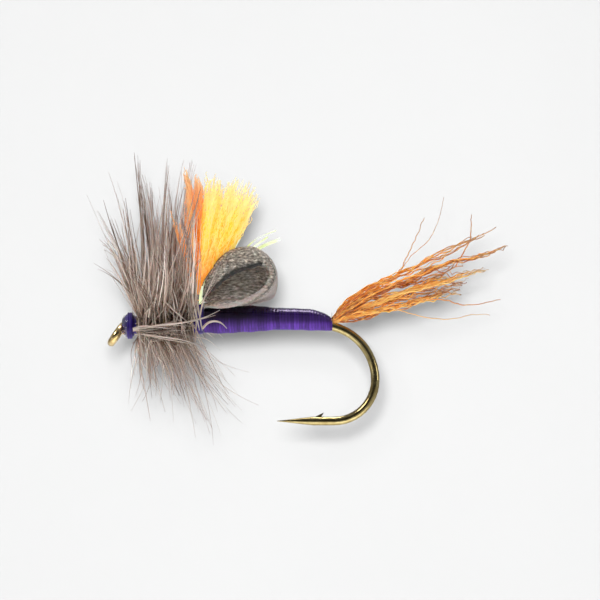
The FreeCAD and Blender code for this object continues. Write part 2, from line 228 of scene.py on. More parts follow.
# ---- materials ---------------------------------------------------------------------------------
class Paint:
    """A node material with a few short ways to wire it."""

    def __init__(self, name, roughness=0.5, **sockets):
        self.material = bpy.data.materials.new(name)
        self.material.use_nodes = True
        self.tree = self.material.node_tree
        self.shader = self.tree.nodes["Principled BSDF"]
        self.shader.inputs["Roughness"].default_value = roughness
        for socket, value in sockets.items():
            self.shader.inputs[socket.replace("_", " ")].default_value = value

    def node(self, kind, **settings):
        node = self.tree.nodes.new(kind)
        for name, value in settings.items():
            setattr(node, name, value)
        return node

    def link(self, source, target):
        self.tree.links.new(source, target)

    def attribute(self, name):
        return self.node("ShaderNodeAttribute", attribute_name=name).outputs["Fac"]

    def place(self, stretch=(1, 1, 1)):
        """Object coordinates in millimetres, stretched."""
        coordinates = self.node("ShaderNodeTexCoord").outputs["Object"]
        mapping = self.node("ShaderNodeMapping")
        mapping.inputs["Scale"].default_value = [s / MM for s in stretch]
        self.link(coordinates, mapping.inputs["Vector"])
        return mapping.outputs["Vector"]

    def noise(self, scale, detail=3.0, stretch=(1, 1, 1)):
        texture = self.node("ShaderNodeTexNoise")
        texture.inputs["Scale"].default_value = scale
        texture.inputs["Detail"].default_value = detail
        self.link(self.place(stretch), texture.inputs["Vector"])
        return texture.outputs["Fac"]

    def ramp(self, source, *stops):
        """stops are (position, colour) pairs."""
        node = self.node("ShaderNodeValToRGB")
        elements = node.color_ramp.elements
        while len(elements) < len(stops):
            elements.new(0.5)
        for element, (position, colour) in zip(elements, stops):
            element.position = position
            element.color = (*colour, 1.0)
        self.link(source, node.inputs["Fac"])
        return node.outputs["Color"]

    def blend(self, kind, share, a, b):
        node = self.node("ShaderNodeMix", data_type="RGBA", blend_type=kind)
        for socket, value in ((node.inputs[0], share), (node.inputs[6], a), (node.inputs[7], b)):
            if isinstance(value, (int, float)):
                socket.default_value = value
            elif isinstance(value, tuple):
                socket.default_value = (*value, 1.0)
            else:
                self.link(value, socket)
        return node.outputs[2]

    def colour(self, source):
        self.link(source, self.shader.inputs["Base Color"])

    def roughness(self, source):
        self.link(source, self.shader.inputs["Roughness"])

    def bump(self, source, depth_mm, strength=1.0):
        node = self.node("ShaderNodeBump")
        node.inputs["Distance"].default_value = depth_mm * MM
        node.inputs["Strength"].default_value = strength
        self.link(source, node.inputs["Height"])
        self.link(node.outputs["Normal"], self.shader.inputs["Normal"])


def grey(value):
    return (value, value, value)


def bronze_wire():
    """Bronzed steel, polished enough to mirror the pale paper, and paler and more golden round the
    eye.
    """
    look = Paint("bronze_wire", 0.14, Metallic=1.0)
    stain = look.noise(3.0, 4.0)
    bronze = look.ramp(stain, (0.30, (0.250, 0.185, 0.070)), (0.72, (0.440, 0.365, 0.175)))
    eye_gold = look.ramp(stain, (0.30, (0.45, 0.31, 0.11)), (0.72, (0.78, 0.62, 0.34)))
    back = look.node("ShaderNodeSeparateXYZ")
    look.link(look.place(), back.inputs["Vector"])
    share = look.ramp(back.outputs["X"], (0.30, grey(0.0)), (0.60, grey(1.0)))
    look.colour(look.blend("MIX", share, eye_gold, bronze))
    look.roughness(look.ramp(look.noise(9.0, 5.0), (0.35, grey(0.10)), (0.75, grey(0.26))))
    look.bump(look.noise(30.0, 2.0, (0.12, 1, 1)), 0.004, 0.35)
    return look.material


def purple_floss():
    """Silky floss: fine filaments run round the body. Its top is made glossy by the clear coat.
    Painted shade darkens the grooves between turns and the top, most of all towards the thorax,
    where the foam's shadow is painted on."""
    look = Paint("purple_floss", Specular_Tint=(0.80, 0.62, 1.0, 1.0))
    hue = look.ramp(
        look.attribute("shade"), (0.10, (0.030, 0.001, 0.130)), (0.9, (0.210, 0.060, 0.690))
    )
    filaments = look.noise(26.0, 2.0, (1.0, 0.08, 0.08))
    fine = look.ramp(filaments, (0.3, grey(0.3)), (0.7, grey(1.0)))
    hue = look.blend("MULTIPLY", 0.75, hue, fine)
    # painted shade: the grooves between turns are darkened
    valley = look.ramp(look.attribute("groove"), (0.0, grey(0.2)), (0.6, grey(1.0)))
    hue = look.blend("MULTIPLY", 1.0, hue, valley)
    under = look.attribute("under")
    # painted shade: rear and front darken the top; front, used towards the thorax, also holds the
    # foam's painted shadow
    rear = look.ramp(under, (0.12, grey(0.22)), (0.46, grey(0.38)), (0.66, grey(1.0)))
    front = look.ramp(under, (0.34, grey(0.03)), (0.75, grey(0.75)))
    place = look.node("ShaderNodeSeparateXYZ")
    look.link(look.place((0.1, 0.1, 0.1)), place.inputs["Vector"])
    # share of the rear shading: 0 under the foam's painted shadow, 1 behind it
    past_foam_shadow = look.ramp(place.outputs["X"], (0.58, grey(0.0)), (0.72, grey(1.0)))
    look.colour(look.blend("MULTIPLY", 1.0, hue, look.blend("MIX", past_foam_shadow, front, rear)))
    look.roughness(look.ramp(under, (0.18, grey(0.18)), (0.34, grey(0.65))))
    look.bump(filaments, 0.004, 0.3)
    return look.material


def purple_thread():
    look = Paint("purple_thread", 0.38, Specular_IOR_Level=0.3, Coat_Weight=0.2, Coat_Roughness=0.15)
    filaments = look.noise(40.0, 3.0, (1.0, 0.15, 0.15))
    hue = look.ramp(filaments, (0.25, (0.006, 0.002, 0.050)), (0.75, (0.050, 0.018, 0.30)))
    look.colour(hue)
    look.bump(filaments, 0.008, 0.6)
    return look.material


def clear_varnish():
    look = Paint("clear_varnish", 0.04, Transmission_Weight=1.0, IOR=1.5)
    look.colour(look.ramp(look.noise(4.0), (0.3, grey(0.93)), (0.7, grey(1.0))))
    return look.material


def yarn(name, dark, middle, bright, glow, root, tip):
    """Crinkled synthetic fibre: each filament has its own shade, tinted towards its root and
    faded to another colour at its tip. Glow is painted light: the fibre gives off its own colour,
    standing in for the light that the clear filaments carry through."""
    look = Paint(name, 0.40, Sheen_Weight=0.15, Subsurface_Weight=0.3)
    look.shader.inputs["Subsurface Scale"].default_value = 0.25 * MM
    look.shader.inputs["Subsurface Radius"].default_value = (1.0, 0.5, 0.15)
    hue = look.ramp(look.attribute("shade"), (0.0, dark), (0.5, middle), (1.0, bright))
    glint = look.ramp(look.noise(4.0, 3.0), (0.48, grey(0.0)), (0.70, grey(0.8)))
    hue = look.blend("MIX", glint, hue, bright)
    along = look.attribute("along")
    hue = look.blend("MULTIPLY", 1.0, hue, look.ramp(along, (0.10, root), (0.60, grey(1.0))))
    hue = look.blend("MIX", look.ramp(along, (0.70, grey(0.0)), (1.0, grey(0.8))), hue, tip)
    look.colour(hue)
    # painted glow: the fibre gives off its own colour as light
    look.link(hue, look.shader.inputs["Emission Color"])
    look.shader.inputs["Emission Strength"].default_value = glow
    look.bump(look.noise(45.0, 2.0), 0.006, 0.4)
    return look.material


def dun_fibre():
    """Feather barbs: warm grey, each a little different, darker at root and tip."""
    look = Paint("dun_fibre", 0.42, Sheen_Weight=0.1, Subsurface_Weight=0.15)
    look.shader.inputs["Subsurface Scale"].default_value = 0.1 * MM
    hue = look.ramp(
        look.attribute("shade"),
        (0.0, (0.210, 0.150, 0.115)),
        (0.35, (0.420, 0.345, 0.295)),
        (0.75, (0.600, 0.520, 0.465)),
        (1.0, (0.950, 0.880, 0.820)),
    )
    ends = look.ramp(
        look.attribute("along"),
        (0.0, (0.74, 0.60, 0.48)),
        (0.30, (0.96, 0.90, 0.84)),
        (0.75, (1.0, 0.98, 0.96)),
        (1.0, (0.55, 0.55, 0.57)),
    )
    look.colour(look.blend("MULTIPLY", 1.0, hue, ends))
    look.bump(look.noise(60.0, 2.0), 0.006, 0.5)
    return look.material


def quill():
    look = Paint("quill", 0.35)
    look.colour(
        look.ramp(look.noise(6.0), (0.3, (0.20, 0.15, 0.12)), (0.7, (0.42, 0.36, 0.31)))
    )
    return look.material


def dubbing_fur():
    look = Paint("dubbing_fur", 0.7, Sheen_Weight=0.4)
    hue = look.ramp(
        look.attribute("shade"),
        (0.0, (0.100, 0.065, 0.045)),
        (0.85, (0.36, 0.27, 0.20)),
        (0.95, (0.95, 0.75, 0.35)),
    )
    look.colour(hue)
    look.bump(look.noise(30.0, 3.0), 0.02, 0.6)
    return look.material


def closed_cell_foam():
    """Matt foam skin with pale and dark flecks, a paler lining painted as light in the hollow, a
    smooth pale bend and a painted shadow along the crease.
    """
    look = Paint("closed_cell_foam", 0.85, Sheen_Weight=0.1, Subsurface_Weight=0.5)
    look.shader.inputs["Subsurface Scale"].default_value = 0.2 * MM
    fleck = look.noise(10.0, 5.0, (0.62, 1.0, 1.15))
    hue = look.ramp(
        fleck,
        (0.36, (0.060, 0.050, 0.040)),
        (0.46, (0.190, 0.165, 0.137)),
        (0.56, (0.290, 0.255, 0.217)),
        (0.66, (0.640, 0.580, 0.500)),
    )
    # painted light: the lining is paler than the skin, standing in for light that reaches into the
    # hollow
    lining = look.ramp(
        look.noise(10.0, 4.0, (0.4, 1.0, 1.6)),
        (0.38, (0.150, 0.135, 0.120)),
        (0.52, (0.460, 0.430, 0.390)),
        (0.66, (0.880, 0.830, 0.770)),
    )
    hue = look.blend("MIX", look.attribute("inside"), hue, lining)
    plain = look.ramp(look.noise(12.0, 3.0), (0.3, (0.31, 0.26, 0.245)), (0.7, (0.46, 0.40, 0.38)))
    hue = look.blend("MIX", look.attribute("pale"), hue, plain)
    # painted shadow along the crease
    hue = look.blend("MULTIPLY", look.attribute("crease_shadow"), hue, grey(0.08))
    look.colour(hue)
    look.bump(look.noise(13.0, 4.0), 0.05, 0.8)
    return look.material


def pearl_film():
    """Thin glossy film whose colour runs from pale green to white along the tape, and which gives
    off that colour as a painted glow.
    """
    look = Paint("pearl_film", 0.12, Alpha=0.85)
    tint = look.ramp(
        look.noise(1.1, 1.0),
        (0.35, (0.66, 0.82, 0.28)),
        (0.50, (0.91, 0.98, 0.62)),
        (0.65, (0.88, 0.96, 0.92)),
    )
    look.colour(tint)
    # painted glow: the film gives off its own colour as light
    look.link(tint, look.shader.inputs["Emission Color"])
    look.shader.inputs["Emission Strength"].default_value = 0.35
    return look.material


def studio_paper():
    """White paper that glows a little, as paper lit from behind does, and more on the floor."""
    look = Paint("studio_paper", 0.9, Emission_Strength=1.0)
    back = look.node("ShaderNodeSeparateXYZ")
    look.link(look.place((0.001, 0.001, 0.001)), back.inputs["Vector"])
    glow = look.ramp(back.outputs["Y"], (0.09, grey(FLOOR_GLOW)), (0.15, grey(PAPER_GLOW)))
    look.link(glow, look.shader.inputs["Emission Color"])
    grain = look.noise(0.05, 2.0)
    look.colour(look.ramp(grain, (0.0, grey(PAPER_WHITE)), (1.0, grey(PAPER_WHITE + 0.01))))
    return look.material


# ---- hook, thread and body ---------------------------------------------------------------------
def dress_cad(node, material):
    """A CAD node that keeps its shape gets its finished material."""
    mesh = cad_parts[node].data
    mesh.materials.clear()
    mesh.materials.append(material)


def make_abdomen(material):
    body = wound_skin("wound_abdomen", "abdomen_floss", 0.62, 0.135, 0.007, material, 96, 14, 0.045)
    settle(body, "abdomen_floss", "abdomen_floss", "abdomen_varnish")


def make_head(thread):
    head = wound_skin("wound_head", "head_wraps", 0.42, 0.060, 0.014, thread, 80, 12, 0.02)
    settle(head, "tying_thread", "head_wraps")
    collar = wound_skin("wound_collar", "foam_tie_wraps", 0.75, 0.070, 0.018, thread, 72, 10, 0.03)
    settle(collar, "tying_thread", "foam_tie_wraps")


FUR_FIBRES = 420


def make_thorax(material):
    """Dubbed fur: a lumpy core with short curled fibres standing out of it."""
    random.seed(3)
    low, high = span("thorax_dubbing")
    radius = (high.z - low.z) / 2
    strands = []
    for i in range(FUR_FIBRES):
        x = random.uniform(low.x, high.x)
        angle = random.uniform(0, 2 * math.pi)
        out = Vector((0, math.sin(angle), math.cos(angle)))
        root = Vector((x, 0, SHANK_Z)) + out * (radius * random.uniform(0.75, 1.0))
        swirl = Vector((random.uniform(-0.5, 0.5), math.cos(angle), -math.sin(angle)))
        line = []
        for k in range(7):
            t = k / 6
            line.append(root + swirl * (0.5 * t) + out * (0.22 * t) + waver(i, 2.2 * t, 0.22))
        strands.append(Strand(line, vary(0.014, 0.5), tip=0.5))
    fur = fibres("dubbing_fur", strands, material, 4)
    settle(fur, "dubbing")
    dress_cad("thorax_dubbing", material)


# ---- foam --------------------------------------------------------------------------------------
FOAM_NEAR = [  # the folded strip's near edge, from the lower tie-in round to the upper one
    (3.72, -0.20, 1.30), (4.80, -0.90, 1.28), (5.75, -1.00, 1.52), (6.60, -1.02, 2.02),
    (7.00, -0.92, 2.66), (6.72, -0.88, 3.14), (6.00, -0.98, 2.96), (5.20, -1.02, 2.66),
    (4.45, -0.92, 2.06), (3.74, -0.20, 1.56),
]
FOAM_CROWN = [  # the line halfway across the strip
    (3.72, 0.00, 1.34), (4.85, 0.00, 1.50), (6.20, 0.00, 1.60), (6.98, 0.00, 2.00),
    (7.14, 0.00, 2.62), (6.84, 0.00, 3.28), (6.05, 0.00, 3.80), (4.90, 0.00, 3.50),
    (4.05, 0.00, 2.45), (3.72, 0.00, 1.62),
]
FOAM_FAR = [  # the far edge
    (3.72, 0.20, 1.30), (4.80, 0.80, 1.36), (5.90, 0.88, 1.44), (6.85, 0.90, 1.66),
    (6.98, 1.12, 1.85), (6.65, 1.18, 1.76), (6.05, 1.24, 1.62), (5.20, 1.26, 1.46),
    (4.40, 0.98, 1.42), (3.74, 0.20, 1.56),
]
FOAM_HALF = 0.12  # half the strip's thickness
FOAM_ROWS = 260  # cross sections along the strip
FOLD = 0.38  # how far along the strip it folds back over itself
TURNED = 0.58  # where its inside turns towards the near side


def strip_section(steps=44, corner=0.035):
    """(across, height) round the strip's section; height is 1 outside and -1 inside."""
    ring = [(mix(corner, 1 - corner, i / steps), 1.0) for i in range(steps)]
    arc = [math.pi * (0.5 - k / 8) for k in range(8)]
    ring += [(1 - corner + corner * math.cos(a), math.sin(a)) for a in arc]
    ring += [(mix(1 - corner, corner, i / steps), -1.0) for i in range(steps)]
    ring += [(corner - corner * math.cos(a), -math.sin(a)) for a in arc]
    return ring


def foam_shades(along, across, height):
    """How much of the foam's inside, pale and painted crease shadow colours show at a place on the
    strip.
    """
    outside = 0.5 + 0.5 * height
    lower_rim = max(0.0, 1 - across / 0.03) if along < 0.34 else 0.0
    upper_rim = max(0.0, 1 - across / 0.05) if along > TURNED else 0.0
    bend = bell(along, FOLD, 0.12)
    inside = (0.5 - 0.5 * height) * (1 - 0.8 * bell(along, TURNED, 0.13))
    pale = max(0.8 * lower_rim, bend * clamp(across * 6 - 0.6) * outside)
    # painted shadow: a dark line along the upper lip's edge, and one just in from the near edge round
    # the bend
    crease_shadow = max(min(1.0, 1.8 * upper_rim), 0.8 * bend * bell(across, 0.075, 0.028) * outside)
    return inside, pale, crease_shadow


def make_foam(material):
    """The strip folded over as a wing case, cupped so that its crown stands above its edges."""
    near, crown, far = [
        smooth_path([Vector(p) for p in line], FOAM_ROWS)
        for line in (FOAM_NEAR, FOAM_CROWN, FOAM_FAR)
    ]

    def on_strip(row, across):
        row = min(max(row, 0), FOAM_ROWS - 1)
        return (
            near[row] * ((1 - across) * (1 - 2 * across))
            + crown[row] * (4 * across * (1 - across))
            + far[row] * (across * (2 * across - 1))
        )

    section = strip_section()
    verts, shades = [], []
    for i in range(FOAM_ROWS):
        end = min(i, FOAM_ROWS - 1 - i) / FOAM_ROWS
        squeeze = 1 - 0.55 * bell(end, 0.0, 0.05)
        for across, height in section:
            run = on_strip(i + 1, across) - on_strip(i - 1, across)
            side = on_strip(i, across + 0.01) - on_strip(i, across - 0.01)
            out = side.cross(run).normalized()
            place = on_strip(i, across) + out * (FOAM_HALF * squeeze * height)
            wrinkle = noise.noise(place * 6.0) + 0.7 * noise.noise(place * 13.0)
            verts.append((place + out * (0.018 * wrinkle * height)) * MM)
            shades.append(foam_shades(i / FOAM_ROWS, across, height))
    count = len(section)
    faces = []
    for i in range(FOAM_ROWS - 1):
        for k in range(count):
            n = (k + 1) % count
            a, b = i * count, (i + 1) * count
            faces.append((a + k, a + n, b + n, b + k))
    faces.append(tuple(range(count - 1, -1, -1)))
    faces.append(tuple(range((FOAM_ROWS - 1) * count, FOAM_ROWS * count)))
    piece = new_piece("foam_case", verts, faces, material)
    for name, values in zip(("inside", "pale", "crease_shadow"), zip(*shades)):
        paint(piece, name, values)
    settle(piece, "foam", "foam_loop")
    return piece


# ---- wing, flash and tail ----------------------------------------------------------------------
WAVES = 20  # crinkles along a filament of yarn
GUIDE_POINTS = 60  # samples of a lock's middle line


def lock(route, count, spread, thick, crinkle, pull=(0.72, 1.0), points=48, flat=1.0, begin=0.0):
    """Fibres that run together along a route of points. spread gives the lock's half width at
    its root, middle and tip, and pull the shortest and longest fibre's share of the route."""
    guide = smooth_path([Vector(p) for p in route], GUIDE_POINTS)
    last = GUIDE_POINTS - 1
    root, middle, tip = spread
    tone = random.random()
    strands = []
    for _ in range(count):
        reach = random.uniform(*pull)
        angle, off = random.uniform(0, 2 * math.pi), math.sqrt(random.random())
        across = Vector((-0.45 * math.sin(angle), math.cos(angle), math.sin(angle)))
        seed = random.uniform(0, 400)
        line = []
        for k in range(points):
            t = k / (points - 1) * reach
            step = min(int(t * last), last - 1)
            place = guide[step].lerp(guide[step + 1], t * last % 1)
            wide = mix(root, middle, min(1, 2 * t)) + (tip - middle) * max(0, 2 * t - 1)
            loose = min(1.0, 5 * t)
            line.append(place + across * (off * wide) + waver(seed, t * WAVES, crinkle * loose))
        own = clamp(tone + random.uniform(-0.4, 0.4))
        strands.append(Strand(line, vary(thick, 0.35), tip=0.55, flat=flat, shade=own, begin=begin))
    return strands


TAIL_TOP = [  # the upper and lower edges of the tail's main mass
    (9.75, 0.0, 0.74), (10.3, 0.1, 1.50), (11.4, 0.2, 2.22), (12.9, 0.2, 2.60), (14.2, 0.1, 3.00),
    (15.3, 0.1, 3.22), (16.1, 0.0, 3.28),
]
TAIL_BOTTOM = [
    (9.75, 0.0, 0.44), (10.7, -0.1, 0.62), (12.0, -0.1, 0.95), (13.2, 0.0, 1.38), (14.2, 0.1, 1.66),
    (15.0, 0.1, 1.82), (15.7, 0.2, 1.92),
]
TAIL_LOCKS = [  # route of the lock's middle, fibres, half width at root, middle and tip
    ([(9.72, 0, 0.62), (10.35, 0.1, 1.42), (11.3, 0.1, 2.12), (12.4, 0.2, 2.62), (13.4, 0.2, 3.02),
      (14.2, 0.2, 3.50), (15.2, 0.1, 3.98), (16.2, 0.1, 4.42), (17.35, 0.1, 5.02)],
     5, (0.10, 0.06, 0.05)),
    ([(9.72, 0, 0.60), (10.5, -0.2, 1.45), (11.6, -0.2, 2.18), (12.8, -0.2, 2.66), (13.8, -0.2, 3.20),
      (14.9, -0.2, 3.62), (16.0, -0.1, 4.20), (17.3, 0, 4.80)], 3, (0.12, 0.06, 0.05)),
    ([(9.72, 0, 0.58), (10.9, 0.3, 1.62), (12.1, 0.4, 2.36), (13.3, 0.4, 2.80), (14.6, 0.3, 3.40),
      (15.8, 0.2, 4.10), (16.6, 0.1, 4.62)], 2, (0.12, 0.05, 0.04)),
    ([(9.72, 0, 0.58), (10.9, 0.2, 1.40), (12.1, 0.3, 2.05), (13.3, 0.3, 2.30), (14.3, 0.1, 2.60),
      (15.1, 0.0, 3.00), (15.6, 0.0, 3.60), (16.0, 0.0, 4.25)], 4, (0.14, 0.10, 0.04)),
    ([(9.72, 0, 0.55), (11.5, -0.3, 1.75), (13.4, -0.5, 2.60), (15.0, -0.4, 3.25), (16.2, -0.3, 3.50),
      (17.0, -0.3, 3.78), (17.6, -0.2, 4.02)], 8, (0.12, 0.08, 0.07)),
    ([(9.72, 0, 0.52), (11.5, -0.4, 1.40), (13.4, -0.6, 2.05), (14.9, -0.5, 2.45), (16.0, -0.5, 2.80),
      (16.8, -0.5, 2.95)], 8, (0.12, 0.10, 0.07)),
]
TAIL_STRAYS = [  # single filaments that have sprung out of the tail
    [(12.6, 0.1, 2.5), (13.2, 0.2, 3.45), (14.1, 0.3, 4.30), (14.5, 0.3, 5.10), (14.8, 0.3, 6.3)],
    [(12.4, 0.3, 2.4), (12.9, 0.3, 3.10), (13.4, 0.2, 4.15), (13.9, 0.2, 5.35)],
    [(15.3, 0.1, 3.1), (15.9, 0.1, 4.20), (16.0, 0.1, 4.90), (16.0, 0.0, 5.45)],
    [(13.6, -0.2, 1.7), (14.9, -0.2, 1.55), (15.9, -0.1, 1.35), (17.4, 0.0, 1.62)],
    [(10.1, 0, 0.62), (12.0, -0.2, 1.25), (13.4, -0.2, 0.92), (14.9, -0.2, 0.70), (16.1, 0, 0.92),
     (16.9, 0, 0.90)],
]


def main_tail_route():
    """A wandering line that stays between the tail's upper and lower edges."""
    share = random.random()
    route = []
    for top, bottom in zip(TAIL_TOP, TAIL_BOTTOM):
        place = Vector(bottom).lerp(Vector(top), share)
        wide = (Vector(top) - Vector(bottom)).length
        route.append(place + Vector((0, random.uniform(-0.3, 0.3) * wide, 0)))
        share = clamp(share + random.gauss(0, 0.18))
    return route


def make_tail(material):
    random.seed(12)
    strands = []
    for _ in range(14):
        route, spread = main_tail_route(), (0.03, 0.06, 0.08)
        strands += lock(route, 4, spread, 0.040, 0.17, pull=(0.62, 1.02), flat=0.5)
    for route, count, spread in TAIL_LOCKS:
        strands += lock(route, count, spread, 0.036, 0.13, flat=0.6)
    for route in TAIL_STRAYS:
        strands += lock(route, 1, (0, 0, 0), 0.022, 0.05, pull=(1, 1), begin=0.7)
    tail = fibres("tail_filaments", strands, material)
    settle(tail, "tail_yarn", "tail_yarn")


def wing_locks(locks, count, lean, reach, height):
    """Locks of yarn from the wing's foot, leaning back between two angles."""
    foot = Vector((3.64, 0.0, 1.50))
    strands = []
    for i in range(locks):
        share = (i + 0.5) / locks
        angle = math.radians(mix(*lean, share) + random.uniform(-2, 2))
        side = random.uniform(-0.75, 0.75)
        length = random.uniform(*reach)
        tip = foot + Vector((math.sin(angle) * length, side, math.cos(angle) * length))
        belly = foot.lerp(tip, 0.5) + Vector((random.uniform(-0.1, 0.1), side * 0.25, 0))
        strands += lock([foot, belly, tip], count, height, 0.021, 0.14, pull=(0.80, 1.03), points=36)
    return strands


def make_wing(orange, yellow):
    random.seed(5)
    tall = wing_locks(8, 26, (-6, 3), (5.2, 6.1), (0.10, 0.26, 0.24))
    short = wing_locks(5, 14, (-17, -5), (3.2, 4.8), (0.12, 0.24, 0.20))
    left = fibres("wing_orange", tall + short, orange)
    settle(left, "wing_yarn_orange", "wing_yarn_orange")
    broad = wing_locks(20, 23, (5, 30), (5.2, 5.8), (0.10, 0.30, 0.34))
    right = fibres("wing_yellow", broad, yellow)
    settle(right, "wing_yarn_yellow", "wing_yarn_yellow")


FLASH_ROUTES = [  # pearl tapes and their half widths, from the tie-in past the foam's far side
    (0.090, [(3.85, 0.55, 1.45), (4.6, 1.20, 2.50), (6.20, 1.35, 3.80), (7.37, 1.35, 4.36)]),
    (0.040, [(3.85, 0.52, 1.40), (4.6, 1.15, 2.60), (6.10, 1.20, 4.20), (7.18, 1.2, 4.74)]),
    (0.050, [(3.85, 0.50, 1.50), (4.5, 1.30, 2.60), (5.90, 1.60, 3.80), (6.80, 1.7, 4.45)]),
    (0.055, [(3.85, 0.45, 1.50), (4.4, 1.00, 2.70), (5.20, 1.10, 3.80), (5.57, 1.10, 4.40)]),
    (0.100, [(3.80, -0.35, 1.45), (3.90, -0.45, 1.95), (4.05, -0.40, 2.45)]),
    (0.080, [(3.78, -0.50, 1.40), (3.80, -0.62, 1.80), (3.90, -0.60, 2.20)]),
]


def make_flash(material):
    tapes = []
    for half_width, route in FLASH_ROUTES:
        line = smooth_path([Vector(p) for p in route], 24)
        tapes.append(Strand(line, half_width, tip=0.9, flat=0.35))
    piece = fibres("pearl_tapes", tapes, material, 8)
    settle(piece, "pearl_flash", "pearl_flash")


# ---- hackle ------------------------------------------------------------------------------------
HACKLE_REACH = 6.9  # the longest barbs
OPEN_SIDE = 1.0  # how far past straight up and straight down the barbs reach, in radians
BARB_POINTS = 14
RING_CLUMPS = 60
STRAPS = 22
CROSS_BARBS = 76
LOOSE_BARBS = 90
QUILL_RADIUS = 0.07  # of the CAD quill, which sets where the coil runs
QUILL_THICK = 0.066
QUILL_PITCH = 0.36
COIL_POINTS = 24  # in each turn
TOP_CLUMPS = [  # along, tip x, y and z, barbs: the tall clumps that make the hackle's outline
    (0.10, -0.95, 0.2, 5.55, 6), (0.12, -0.55, -0.4, 5.9, 6), (0.10, 0.25, 0.3, 6.6, 6),
    (0.22, 1.00, -0.3, 8.0, 13), (0.26, 1.10, 0.4, 7.2, 8), (0.30, 1.55, 0.0, 6.6, 8),
    (0.50, 2.35, -0.2, 7.75, 11), (0.55, 2.30, 0.5, 7.0, 5), (0.62, 2.75, -0.3, 6.3, 4),
    (0.85, 3.42, -0.35, 8.0, 9), (0.80, 3.20, 0.1, 6.9, 4), (0.72, 2.95, 0.5, 5.9, 5),
    (0.06, -1.00, -0.5, 3.2, 2), (0.05, -0.7, 0.8, 4.3, 5), (0.40, 1.80, -0.5, 5.6, 8),
]
HERO_BARBS = [  # route and thickness of the broad barbs that lie across the body
    ([(0.8, -0.75, 0.27), (1.9, -0.95, 0.42), (3.1, -1.05, 0.58), (4.0, -0.95, 0.80),
      (4.7, -0.9, 1.13)], 0.038),
    ([(0.8, -0.75, 0.30), (1.3, -0.95, 0.42), (2.0, -1.00, 0.36), (2.7, -1.0, 0.27)], 0.034),
    ([(0.8, -0.72, 0.24), (2.2, -1.10, 0.50), (3.4, -1.10, 0.62), (4.5, -1.0, 0.90)], 0.030),
    ([(3.35, -0.75, 2.6), (3.5, -0.95, 1.6), (3.7, -0.90, 0.6), (3.78, -0.8, 0.22)], 0.045),
    ([(3.55, -0.75, 2.5), (3.68, -1.00, 1.5), (3.85, -0.9, 0.5), (3.9, -0.8, 0.2)], 0.042),
    ([(3.78, -0.80, 0.75), (3.95, -1.15, 1.5), (4.35, -1.25, 2.4), (4.75, -1.2, 3.3)], 0.034),
    ([(3.9, -0.62, 0.30), (4.15, -0.75, 0.55), (4.45, -0.78, 0.63), (4.75, -0.72, 0.55),
      (5.0, -0.6, 0.30)], 0.050),
    ([(2.1, -0.75, 1.65), (2.5, -1.0, 1.25), (2.95, -1.0, 0.85), (3.45, -0.9, 0.42)], 0.036),
    ([(1.2, -0.75, 0.05), (2.0, -1.00, -0.05), (3.0, -1.05, -0.2), (4.1, -0.9, -0.55)], 0.034),
    ([(1.3, -0.70, 0.00), (2.2, -0.95, -0.15), (3.1, -1.0, -0.32), (4.0, -0.9, -0.45)], 0.030),
    ([(1.06, -0.2, -0.45), (1.15, -0.2, -1.6), (1.35, -0.2, -2.7), (1.55, -0.2, -3.85)], 0.022),
    ([(1.35, -0.8, 0.95), (1.9, -1.1, 1.7), (2.5, -1.2, 2.6), (2.9, -1.1, 3.2)], 0.036),
    ([(1.5, -0.8, 0.80), (1.7, -1.1, 1.9), (2.1, -1.2, 3.0), (2.6, -1.1, 4.2)], 0.034),
]
HERO_SHIFT = Vector((0, -0.35, 0))  # brings the routes out in front of the other barbs
HERO_SWELL = 1.15


def hackle_root(along, around):
    """A point on the wound quill: along runs 0 to 1 from front to rear, and around is the angle
    from straight up, round the far side."""
    low, high = span("hackle_stem")
    radius = (high.z - low.z) / 2 - 0.04
    x = mix(low.x, high.x, along)
    return Vector((x, radius * math.sin(around), SHANK_Z + radius * math.cos(around)))


def random_bow(size):
    return waver(random.uniform(0, 300), 0.5, size)


def barb(root, tip, bow, thick, seed):
    """One feather barb from root to tip, bowed sideways by a vector at its middle."""
    line = []
    for k in range(BARB_POINTS):
        t = k / (BARB_POINTS - 1)
        line.append(root.lerp(tip, t) + bow * (4 * t * (1 - t)) + waver(seed, t * 2.0, 0.07 * t))
    return Strand(line, thick, tip=0.22, root=1.15)


def barb_line(root, tip, bow, seed):
    """Only a barb's line, for the barbs that set their own thickness, taper and shade."""
    return barb(root, tip, bow, 1.0, seed).line


def clump(along, around, tip, count, gather, thick=0.032):
    """Barbs that have stuck together towards their tips. gather is their scatter at the tip."""
    bow = random_bow(0.8)
    tone = random.random()
    strands = []
    for _ in range(count):
        root = hackle_root(clamp(along + random.gauss(0, 0.09)), around + random.gauss(0, 0.28))
        end = tip + Vector([random.gauss(0, gather) for _ in range(3)])
        end = root.lerp(end, random.choice((1.0, 0.97, 0.93, 0.84, 0.7)))
        line = barb_line(root, end, bow * random.uniform(0.6, 1.3), random.uniform(0, 400))
        own = clamp(tone + random.uniform(-0.35, 0.35))
        strands.append(Strand(line, vary(thick, 0.4), tip=0.2, root=1.15, shade=own))
    return strands


def direction(share):
    """An angle round the quill, from above over the far side to below. The near side is left
    nearly open, because there the barbs have been pressed up and down."""
    return mix(-OPEN_SIDE, math.pi + OPEN_SIDE, share)


